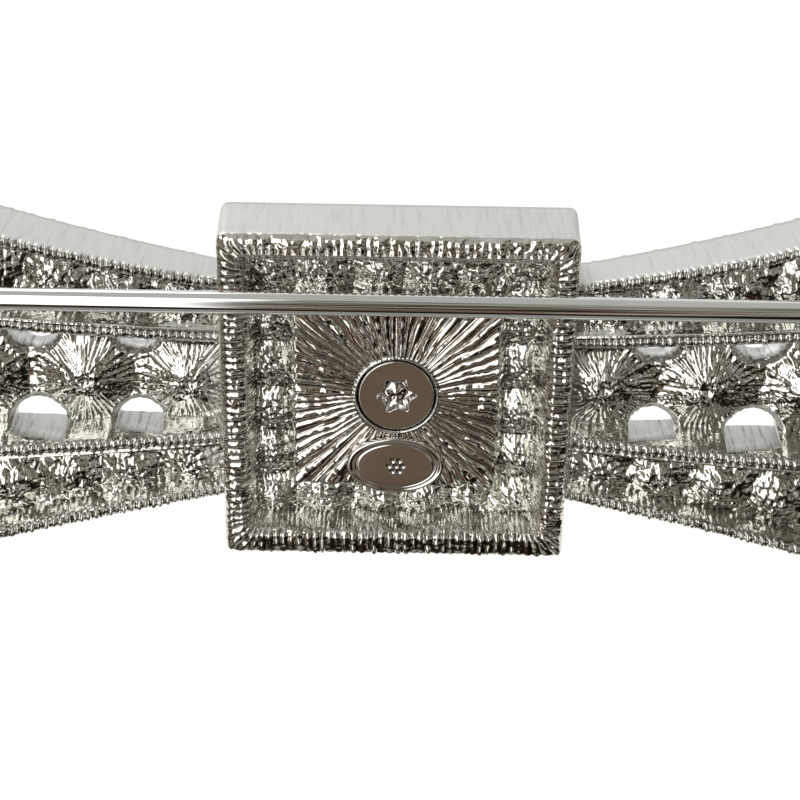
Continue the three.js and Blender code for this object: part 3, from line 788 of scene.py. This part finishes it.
def make_wing(side, sign, seed):
    u, z = wing_grid()
    rows, across = u.shape
    back = wing_back_y(u) + wing_back_depth(u, z, seed)
    front = wing_front_y(u) - wing_front_rise(u, z, seed + 200)
    wall_steps = 7
    t = np.linspace(0, 1, wall_steps + 2)[None, 1:-1]

    def wall(edge, start_y, end_y):
        """Points down one edge of the wing, from one face to the other."""
        y = start_y[:, edge] * (1 - t) + end_y[:, edge] * t
        return np.stack([np.broadcast_to(u[:, edge], y.shape), y, np.broadcast_to(z[:, edge], y.shape)], -1)

    down, up = wall(slice(-1, None), back, front), wall(slice(0, 1), front, back)
    back_side, front_side = np.stack([u, back, z], -1), np.stack([u, front, z], -1)[:, ::-1]
    rings = np.concatenate([back_side, down, front_side, up], axis=1)
    around = rings.shape[1]
    points = rings.reshape(-1, 3).copy()
    points[:, 0] *= sign
    is_wall = np.zeros(around, dtype=np.int32)
    is_wall[across - 1:across + wall_steps] = 1
    is_wall[2 * across + wall_steps - 1:] = 1
    faces = ring_faces(rows, around).tolist()
    slots = np.tile(is_wall, rows - 1).tolist()
    for row in (0, rows - 1):
        cap = wing_cap(row * around, across, wall_steps)
        faces.extend(cap)
        slots.extend([1] * len(cap))
    piece = add_piece(f"wing_casting_{side}", points, faces, [CAST, SATIN, PIERCED], slots,
                      stands_for=[f"wing_{side}"])
    arch_points, arch_faces = arch_bodies(sign)
    cut(piece, arch_points, arch_faces, face_slots=np.full(len(arch_faces), 2))


# -------------------------------- stones

def circle_ring(radius, y, count, offset=0.0, wave=None):
    """A ring of points round the y axis. Offset turns it by that share of one step."""
    turns = (np.arange(count) + offset) / count * 2 * np.pi
    reach = np.full(count, radius) * (1 if wave is None else wave(turns))
    return np.stack([reach * np.cos(turns), np.full(count, y), reach * np.sin(turns)], axis=-1)


def brilliant(radius, pavilion, crown_share=0.42, girdle_share=0.08, table_share=0.56):
    """Points, faces and slots of a round brilliant: culet at y = 0, table towards -y.
    Slot 0 is the clear crown and slot 1 the foiled back."""
    girdle = -pavilion
    crown_foot = girdle - girdle_share * radius
    crown_tall = crown_share * radius
    points = np.concatenate([circle_ring(table_share * radius, crown_foot - crown_tall, 8),
                             circle_ring(0.80 * radius, crown_foot - 0.55 * crown_tall, 8, 0.5),
                             circle_ring(radius, crown_foot, 16), circle_ring(radius, girdle, 16),
                             circle_ring(0.42 * radius, -0.40 * pavilion, 8, 0.5), [(0, 0, 0)]])
    table, star, top, low, deep, culet = 0, 8, 16, 32, 48, 56
    faces, slots = [list(range(8))], [0]
    for i in range(8):
        j, k = (i + 1) % 8, (2 * i + 2) % 16
        faces += [[table + i, table + j, star + i],
                  [star + i, table + j, star + j, top + k],
                  [star + i, top + 2 * i, top + 2 * i + 1],
                  [star + i, top + 2 * i + 1, top + k]]
        faces += [[low + 2 * i, low + 2 * i + 1, deep + i], [low + 2 * i + 1, low + k, deep + i],
                  [deep + i, low + k, deep + j], [deep + i, deep + j, culet]]
        slots += [0] * 4 + [1] * 4
    for i in range(16):
        j = (i + 1) % 16
        faces.append([top + i, top + j, low + j, low + i])
        slots.append(0)
    return points, faces, slots


def add_stone(name, places, node, radius, pavilion):
    """One piece with a stone at each place of its culet."""
    shape, shape_faces, shape_slots = brilliant(radius, pavilion)
    points, faces = gathered([(shape + place, shape_faces) for place in places])
    add_piece(name, points, faces, [GLASS, FOIL], shape_slots * len(places), smooth=False, slot="crystal",
              stands_for=[node])


def make_wing_stones(side, sign):
    for name, u, z, radius, pavilion in STONES:
        culet_y = wing_front_y(u) + pavilion - GIRDLE_RISE * radius
        add_stone(f"{side}_{name}_cut", [(sign * u, culet_y, z)], f"{side}_{name}", radius, pavilion)


def make_ring_stones():
    for quarter, side in enumerate(("top", "right", "bottom", "left")):
        places = []
        for i in range(5):
            x, z = -RING_HALF + i * RING_PITCH, RING_HALF
            for _ in range(quarter):
                x, z = z, -x
            places.append((x, RING_CULET_Y, z))
        add_stone(f"ring_stones_{side}", places, f"ring_crystals_{side}", RING_STONE, 0.8 * RING_STONE)


def bead(centre, radius, tall, rings=4, around=10):
    """A little bead that stands towards -y, with a short root behind it."""
    cx, cy, cz = centre
    loops = []
    for k in range(rings + 1):
        climb = k / (rings + 0.6) * math.pi / 2
        loops.append(circle_ring(radius * math.cos(climb), -tall * math.sin(climb), around) + (cx, cy, cz))
    loops.insert(0, loops[0] + (0, 0.35, 0))
    return lofted(loops)


def make_prongs(side, sign):
    """Four beads that hold each stone of a wing."""
    beads = []
    for name, u, z, radius, _ in STONES:
        y = wing_front_y(u) - GIRDLE_RISE * radius + 0.1
        size = 0.34 if "large" in name else 0.27
        for k in range(4):
            turn = math.pi / 4 + k * math.pi / 2
            along, up = (radius + 0.1) * math.cos(turn), (radius + 0.1) * math.sin(turn)
            beads.append(bead((sign * (u + along), y, z + up), size, 0.42))
    add_piece(f"prongs_{side}", *gathered(beads), [POLISHED])


# -------------------------------- screw, plate and centre ornament

def make_screw():
    """A flat head with a six-lobe recess, a cone at its bottom, and the shank that it turns on."""
    def lobed(turns):
        return 1 + 0.17 * np.cos(6 * turns + 0.4) + 0.03 * np.cos(12 * turns + 0.8)

    top = PLATEAU_Y - 0.02
    shank = [(0.02, -4.5), (0.7, -4.45), (0.75, -4.3), (0.75, -1.9)]
    head = [(SCREW_RADIUS - 0.1, -1.88), (SCREW_RADIUS, -1.8), (SCREW_RADIUS, top - 0.1),
            (SCREW_RADIUS - 0.02, top - 0.02), (SCREW_RADIUS - 0.06, top), (SCREW_RADIUS - 0.08, top),
            (1.6, top), (1.2, top)]
    recess = [(0.97, top), (0.95, top), (0.91, top - 0.04), (0.88, top - 0.5)]
    cone = [(0.62, top - 0.56), (0.36, top - 0.50), (0.14, top - 0.38)]
    rings = []
    for profile, wave in ((shank + head, None), (recess, lobed), (cone, None)):
        rings += [circle_ring(radius, y, 120, wave=wave) for radius, y in profile]
    add_piece("screw", *lofted(rings), [SCREW_METAL], slot="polished_metal", stands_for=["clamp_screw"])


def plate_relief(x, z, share):
    """Height of the oval plate over its field: a plain line round it and a flower of seven dots."""
    line = -0.03 * hump(share, 0.80, 0.016)
    ring = [k * math.pi / 3 for k in range(6)]
    dots = [(0.0, 0.0)] + [(DOT_RING * math.cos(turn), DOT_RING * math.sin(turn)) for turn in ring]
    flower = np.zeros_like(x)
    for dot_x, dot_z in dots:
        far = ((x - dot_x) ** 2 + (z - dot_z) ** 2) / DOT_RADIUS ** 2
        flower = np.maximum(flower, np.exp(-far ** 2))
    return line - 0.025 * flower


def make_plate():
    """An oval plate with a rolled rim. It carries no marks, only a plain pattern."""
    rim = [(0.96, 0.0), (1.0, 0.05), (1.0, 0.16), (1.0, 0.31), (0.995, 0.35), (0.98, 0.375), (0.955, 0.39),
           (0.93, 0.385), (0.905, 0.365), (0.89, 0.355)]
    field = [(share, 0.35 + 0.045 * (0.88 ** 2 - share ** 2)) for share in np.linspace(0.88, 0.02, 64)]
    turn = np.arange(336) / 336 * 2 * np.pi
    rings = []
    for share, y in rim + field:
        x, z = share * PLATE_HALF_WIDTH * np.cos(turn), share * PLATE_HALF_HEIGHT * np.sin(turn)
        raised = y + (plate_relief(x, z, share) if share < 0.885 else 0 * x)
        rings.append(np.stack([x, PLATEAU_Y + 0.02 + raised, PLATE_Z + z], axis=-1))
    add_piece("plate", *lofted(rings), [PLATE_METAL], slot="plate_metal", stands_for=["maker_plate"])


def make_collet():
    """The square setting on the front: a cup with a beaded edge."""
    levels = [(0.3, -3.1), (4.9, -3.1), (5.05, -3.25), (5.1, -4.2), (4.98, -4.35), (4.98, -4.5), (5.1, -4.65),
              (5.1, -6.3), (5.0, -6.5), (4.8, -6.62), (4.6, -6.6), (4.52, -6.45), (4.5, -4.95), (0.3, -4.9)]
    x, z = square_rays(96)
    rings = [np.stack([x * half, np.full(96, y), z * half], axis=-1) for half, y in levels]
    add_piece("collet", *lofted(rings), [POLISHED], stands_for=["centre_collet"])
    places = [(4.83 * sx, 4.83 * k / 7) for sx in (1, -1) for k in range(-7, 8)]
    places += [(4.83 * k / 7, 4.83 * sz) for sz in (1, -1) for k in range(-6, 7)]
    beads = [bead((x, -6.55, z), 0.3, 0.3) for x, z in places]
    add_piece("collet_beads", *gathered(beads), [POLISHED])


def make_centre_crystal():
    """A square step-cut stone with cut corners."""
    def octagon(half, y, cut_corner):
        inner = half - cut_corner
        outline = [(half, inner), (inner, half), (-inner, half), (-half, inner),
                   (-half, -inner), (-inner, -half), (inner, -half), (half, -inner)]
        return [(x, y, z) for x, z in outline]

    levels = [(1.3, -5.0, 0.3), (2.9, -5.45, 0.6), (4.3, -6.1, 0.9), (4.36, -6.35, 0.9), (3.9, -6.85, 0.85),
              (3.35, -7.4, 0.75), (2.7, -7.9, 0.6)]
    points = [place for level in levels for place in octagon(*level)]
    last = 8 * (len(levels) - 1)
    faces = ring_faces(len(levels), 8).tolist()
    faces += [list(range(8))[::-1], [last + i for i in range(8)]]
    slots = [1 if i < 16 else 0 for i in range(last)] + [1, 0]
    add_piece("centre_stone", points, faces, [GLASS, FOIL], slots, smooth=False, slot="crystal",
              stands_for=["centre_crystal"])


# -------------------------------- pin, hinge and catch

def turned(profile, count=48):
    """A body turned about the x axis through the pin's centreline, from (x, radius) pairs."""
    return lofted([circle_ring(r, x, count)[:, (1, 0, 2)] + (0, PIN_Y, PIN_Z) for x, r in profile])


def upright(profile, count=48):
    """A body turned about the hinge's upright axis, from (height over the pin's centreline, radius) pairs."""
    return lofted([circle_ring(r, z, count)[:, (0, 2, 1)] + (-FINDING_X, PIN_Y, PIN_Z) for z, r in profile])


def box_body(low, high):
    corners = [(x, y, z) for x in (low[0], high[0]) for y in (low[1], high[1]) for z in (low[2], high[2])]
    faces = [[0, 1, 3, 2], [4, 6, 7, 5], [0, 4, 5, 1], [2, 3, 7, 6], [0, 2, 6, 4], [1, 5, 7, 3]]
    return corners, faces


def soften(piece, width):
    """Rounds the sharp edges of a piece, with its flat faces kept flat."""
    bevel = piece.modifiers.new("edges", "BEVEL")
    bevel.width = width * MM
    bevel.segments = 3
    bevel.limit_method = "ANGLE"
    bevel.angle_limit = math.radians(35)
    bevel.harden_normals = True
    apply_modifiers(piece)


def make_pin():
    """The wire with its long point, and the eye that the rivet goes through."""
    start, taper = -FINDING_X + EYE_RADIUS - 0.4, PIN_TIP - PIN_TAPER
    profile = [(start, PIN_RADIUS / 2)]
    profile += [(x, PIN_RADIUS) for x in (start, *np.linspace(start + 1, taper, 40))]
    steps = np.linspace(0, 1, 24)[1:-1]
    profile += [(taper + PIN_TAPER * t, PIN_RADIUS * (1 - t ** 1.5) + 0.03) for t in steps]
    profile += [(PIN_TIP - 0.02, 0.03)]
    piece = add_finding("pin_wire", *turned(profile), "pin_stem", body="pin")
    half = [(0.66, 0.9), (0.66, EYE_RADIUS - 0.1), (0.6, EYE_RADIUS - 0.03), (0.5, EYE_RADIUS)]
    join(piece, *upright([(-z, r) for z, r in half] + half[::-1], 64))
    cut(piece, *upright([(-3, RIVET_BORE), (3, RIVET_BORE)]))


def finding_plate(sign):
    middle = sign * FINDING_X
    return box_body((middle - 2.48, -0.78, PIN_Z - 1.73), (middle + 2.48, -0.08, PIN_Z + 1.73))


def make_hinge():
    """The base with two ears, and the rivet through them."""
    piece = add_finding("hinge_bracket", *finding_plate(-1), "hinge_base", smooth=False)
    for low, high in ((0.76, 1.56), (-1.56, -0.76)):
        cheek = box_body((-FINDING_X - EAR_RADIUS, -0.5, PIN_Z + low),
                         (-FINDING_X + EAR_RADIUS, PIN_Y, PIN_Z + high))
        join(piece, *cheek, smooth=False)
        join(piece, *upright([(low, EAR_RADIUS), (high, EAR_RADIUS)], 64))
    cut(piece, *upright([(-3, RIVET_BORE), (3, RIVET_BORE)]))
    soften(piece, 0.12)
    half = [(1.97, 0.05), (1.96, 0.4), (1.88, 0.64), (1.76, 0.76), (1.64, 0.78), (1.63, 0.42)]
    add_finding("rivet", *upright([(-z, r) for z, r in half] + half[::-1]), "hinge_rivet")


def make_catch():
    """The base with its barrel, and the rotor with its thumb tab that turns in it."""
    start, end = CATCH_START, CATCH_END
    piece = add_finding("catch_barrel", *finding_plate(1), "catch_base", smooth=False)
    join(piece, *box_body((start, -0.5, PIN_Z - 1.3), (end, PIN_Y, PIN_Z + 1.3)), smooth=False)
    join(piece, *turned([(start, BARREL_RADIUS), (end, BARREL_RADIUS)], 72))
    cut(piece, *turned([(start - 1, BARREL_BORE), (end + 1, BARREL_BORE)], 72))
    cut_mouth(piece, start, end)
    soften(piece, 0.1)

    collar, collar_end, flange_end = start - 1.3, start - 0.1, end + 0.5
    shape = [(collar, 1.7), (collar + 0.12, 1.85), (collar + 1.08, 1.85), (collar_end, 1.7),
             (collar_end, 1.26), (flange_end - 0.4, 1.26), (flange_end - 0.4, 1.5), (flange_end - 0.3, 1.55),
             (flange_end - 0.1, 1.55), (flange_end, 1.45)]
    rotor = add_finding("safety_rotor", *turned(shape, 72), "catch_rotor", body="rotor")
    tab = box_body((collar, PIN_Y - 0.4, PIN_Z + 1.1), (collar_end, PIN_Y + 0.4, PIN_Z + 3.68))
    join(rotor, *tab, smooth=False)
    cut(rotor, *turned([(collar - 1, ROTOR_BORE), (flange_end + 1, ROTOR_BORE)]))
    cut_mouth(rotor, collar, flange_end)
    soften(rotor, 0.07)


def cut_mouth(piece, start, end):
    """Opens a piece along its back, wide enough for the pin to drop in."""
    mouth = box_body((start - 1, PIN_Y, PIN_Z - MOUTH_HALF), (end + 1, PIN_Y + 4, PIN_Z + MOUTH_HALF))
    cut(piece, *mouth, smooth=False)


# -------------------------------- stage

def make_floor():
    """A pale floor well under the brooch."""
    half, drop, near_edge = 2.5, 0.075, -0.01
    mesh = bpy.data.meshes.new("floor")
    outline = [(-half, -half), (half, -half), (half, near_edge), (-half, near_edge)]
    mesh.from_pydata([(x, y, -drop) for x, y in outline], [], [(0, 1, 2, 3)])
    material, tree, shader = new_material("floor_white")
    paint = {"Base Color": (0.9, 0.9, 0.9), "Roughness": 0.9, "Emission Color": (1, 1, 1),
             "Emission Strength": 0.45}
    for socket, value in paint.items():
        feed(tree, shader.inputs[socket], value)
    mesh.materials.append(material)
    new_object("floor", mesh)


def make_world():
    """A white studio with a bright two-pane window on one side and a dark brown room behind the viewer."""
    world = bpy.data.worlds.new("studio")
    bpy.context.scene.world = world
    world.use_nodes = True
    tree = world.node_tree
    tree.nodes.clear()
    place = add_node(tree, "ShaderNodeTexCoord").outputs["Generated"]
    x, y, z = add_node(tree, "ShaderNodeSeparateXYZ", {0: place}).outputs
    noise = add_node(tree, "ShaderNodeTexNoise", {"Vector": place, "Scale": 6, "Detail": 4})

    def mask(source, low, high):
        inputs = {"Value": source, "From Min": low, "From Max": high}
        return add_node(tree, "ShaderNodeMapRange", inputs, interpolation_type="SMOOTHSTEP").outputs["Result"]

    def math_node(operation, a, b):
        return add_node(tree, "ShaderNodeMath", {0: a, 1: b}, operation=operation).outputs[0]

    def times(a, b):
        return math_node("MULTIPLY", a, b)

    def between(source, low, rise, fall, high):
        return math_node("SUBTRACT", mask(source, low, rise), mask(source, fall, high))

    def mix(factor, under, over):
        inputs = {"Factor": factor, "A": under, "B": over}
        return add_node(tree, "ShaderNodeMix", inputs, data_type="RGBA").outputs["Result"]

    cloud = noise.outputs["Fac"]
    floor_tones = ramp(tree, cloud, [(0.40, (0.002, 0.0015, 0.001)), (0.52, (0.03, 0.02, 0.014)),
                                     (0.66, (0.12, 0.09, 0.06))])
    room_tones = ramp(tree, cloud, [(0.42, (0.010, 0.008, 0.006)), (0.50, (0.13, 0.098, 0.070)),
                                    (0.60, (0.50, 0.48, 0.40))])
    side_tones = ramp(tree, cloud, [(0.43, (0.008, 0.007, 0.005)), (0.50, (0.22, 0.21, 0.17)),
                                    (0.57, (0.85, 0.85, 0.78))])
    upper_tones = ramp(tree, cloud, [(0.42, (0.03, 0.025, 0.018)), (0.50, (0.16, 0.14, 0.10)),
                                     (0.60, (0.34, 0.34, 0.29))])
    # Side is the angle from straight behind the brooch, towards the left as the camera sees it
    side = math_node("ARCTAN2", x, y)
    right, down = times(side, -1.0), times(z, -1.0)
    colour = mix(mask(right, 0.28, 0.42), room_tones, side_tones)
    straight_back = mask(times(math_node("ABSOLUTE", side, 0.0), -1.0), -0.12, -0.08)
    colour = mix(times(straight_back, mask(down, 0.25, 0.35)), colour, (0.155, 0.112, 0.082))
    colour = mix(times(mask(right, 0.20, 0.35), mask(down, 0.22, 0.36)), colour, (0.006, 0.005, 0.004))
    colour = mix(mask(z, -0.66, -0.52), floor_tones, colour)
    colour = mix(mask(z, 0.10, 0.35), colour, upper_tones)
    front = mix(mask(z, -0.30, 0.05), (0.42, 0.42, 0.40), (0.79, 0.785, 0.765))
    band = times(between(side, -2.75, -2.65, -2.40, -2.30), mask(down, -0.25, -0.10))
    front = mix(band, front, (0.05, 0.05, 0.048))
    colour = mix(mask(times(y, -1.0), 0.0, 0.2), colour, front)
    panes = math_node("ADD", between(side, 0.10, 0.15, 0.44, 0.48), between(side, 0.52, 0.56, 0.84, 0.90))
    sill = math_node("SUBTRACT", z, times(side, 0.9))
    colour = mix(times(panes, mask(sill, -0.72, -0.64)), colour, (2.1, 2.1, 2.05))
    colour = mix(mask(z, 0.80, 0.86), colour, (0.50, 0.50, 0.47))
    colour = mix(mask(down, 0.83, 0.88), colour, (0.30, 0.30, 0.28))
    path = add_node(tree, "ShaderNodeLightPath")
    colour = mix(path.outputs["Is Camera Ray"], colour, (1.0, 1.0, 1.0))
    background = add_node(tree, "ShaderNodeBackground", {"Color": colour})
    add_node(tree, "ShaderNodeOutputWorld", {"Surface": background.outputs[0]})


def make_key_light():
    """A faint broad lamp over the brooch's front."""
    data = bpy.data.lights.new("key", "AREA")
    data.shape = "DISK"
    data.size = 0.40
    data.energy = 0.5
    light = new_object("key", data)
    place = Vector((0.25, -0.30, 0.45))
    light.location = place
    light.rotation_mode = "QUATERNION"
    light.rotation_quaternion = (-place).to_track_quat("-Z", "Y")


def make_camera():
    """It looks at the brooch's back from above, close enough for strong perspective."""
    distance, elevation, roll = 0.0941, math.radians(27), math.radians(0.97)
    aim_right, aim_up = 0.000213, 0.000251
    towards = Vector((0, math.cos(elevation), math.sin(elevation)))
    right = Vector((-1, 0, 0))
    up = right.cross(-towards)
    data = bpy.data.cameras.new("camera")
    data.sensor_width = 36
    data.lens = 77.6
    data.clip_start, data.clip_end = 0.005, 20
    camera = new_object("camera", data)
    camera.location = Vector(ORIGIN) + towards * distance + right * aim_right + up * aim_up
    frame_axes = Matrix((right, up, towards)).transposed()
    camera.rotation_mode = "QUATERNION"
    camera.rotation_quaternion = (frame_axes @ Matrix.Rotation(roll, 3, "Z")).to_quaternion()
    bpy.context.scene.camera = camera


make_camera()
make_floor()
make_world()
make_key_light()

make_knot()
for side, sign, seed in (("hinge_side", -1, 100), ("catch_side", 1, 500)):
    make_wing(side, sign, seed)
    make_wing_stones(side, sign)
    make_prongs(side, sign)
make_ring_stones()
make_screw()
make_plate()
make_collet()
make_centre_crystal()
make_pin()
make_hinge()
make_catch()

bpy.context.scene.view_settings.view_transform = "Standard"
bpy.context.view_layer.update()
